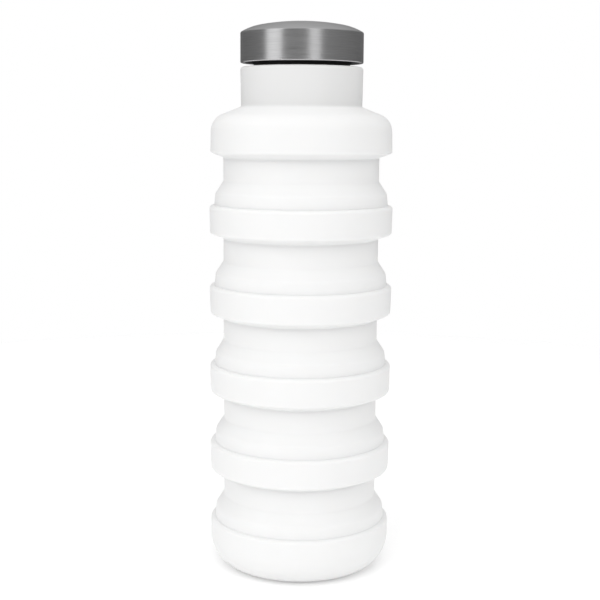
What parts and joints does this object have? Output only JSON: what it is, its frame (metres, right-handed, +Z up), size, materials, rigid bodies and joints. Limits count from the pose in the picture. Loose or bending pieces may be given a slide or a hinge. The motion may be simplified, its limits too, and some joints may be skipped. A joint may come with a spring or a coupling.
{
  "type": "folding water bottle",
  "caption": "Collapsible silicone drinking bottle with stepped rings that fold into one another and a domed steel screw lid.",
  "frame": {"origin": "centre of the foot's resting plane, on the bottle's axis", "axes": "+Z up along the bottle's axis from foot to lid; X and Y are free, since the outside is round"},
  "size_m": [0.0732, 0.0732, 0.2193],
  "materials": {
    "silicone": "matt white food-grade silicone",
    "steel": "brushed round the side and spun on the dome",
    "black_plastic": "moulded, fine satin",
    "black_rubber": "smooth silicone seal",
    "white_plastic": "moulded polypropylene"
  },
  "bodies": {
    "base": {"base_cup": "silicone", "fold_wall_1": "silicone"},
    "ring_1": {"ring_1": "silicone", "fold_wall_2": "silicone"},
    "ring_2": {"ring_2": "silicone", "fold_wall_3": "silicone"},
    "ring_3": {"ring_3": "silicone", "fold_wall_4": "silicone"},
    "ring_4": {"ring_4": "silicone", "fold_wall_5": "silicone"},
    "neck": {"shoulder": "silicone", "neck_insert": "white_plastic"},
    "gasket": {"lid_gasket": "black_rubber"},
    "lid": {"lid_shell": "steel", "lid_plug": "black_plastic"}
  },
  "joints": [
    {"name": "fold_1", "type": "slide", "parent": "base", "child": "ring_1", "axis": [0, 0, 1], "range_m": [-0.0196, 0], "deforming": ["fold_wall_1"]},
    {"name": "fold_2", "type": "slide", "parent": "ring_1", "child": "ring_2", "axis": [0, 0, 1], "range_m": [-0.0196, 0], "deforming": ["fold_wall_2"]},
    {"name": "fold_3", "type": "slide", "parent": "ring_2", "child": "ring_3", "axis": [0, 0, 1], "range_m": [-0.0196, 0], "deforming": ["fold_wall_3"]},
    {"name": "fold_4", "type": "slide", "parent": "ring_3", "child": "ring_4", "axis": [0, 0, 1], "range_m": [-0.0196, 0], "deforming": ["fold_wall_4"]},
    {"name": "fold_5", "type": "slide", "parent": "ring_4", "child": "neck", "axis": [0, 0, 1], "range_m": [-0.0196, 0], "deforming": ["fold_wall_5"]},
    {"name": "lid_lift", "type": "slide", "parent": "neck", "child": "gasket", "axis": [0, 0, 1], "range_m": [0, 0.014]},
    {"name": "lid_turn", "type": "hinge", "parent": "gasket", "child": "lid", "pos_m": [0, 0, 0.2035], "axis": [0, 0, 1], "range_deg": [0, 1260]}
  ],
  "couplings": [
    {"joint": "lid_lift", "follows": "lid_turn", "m_per_rad": 0.00063662}
  ]
}
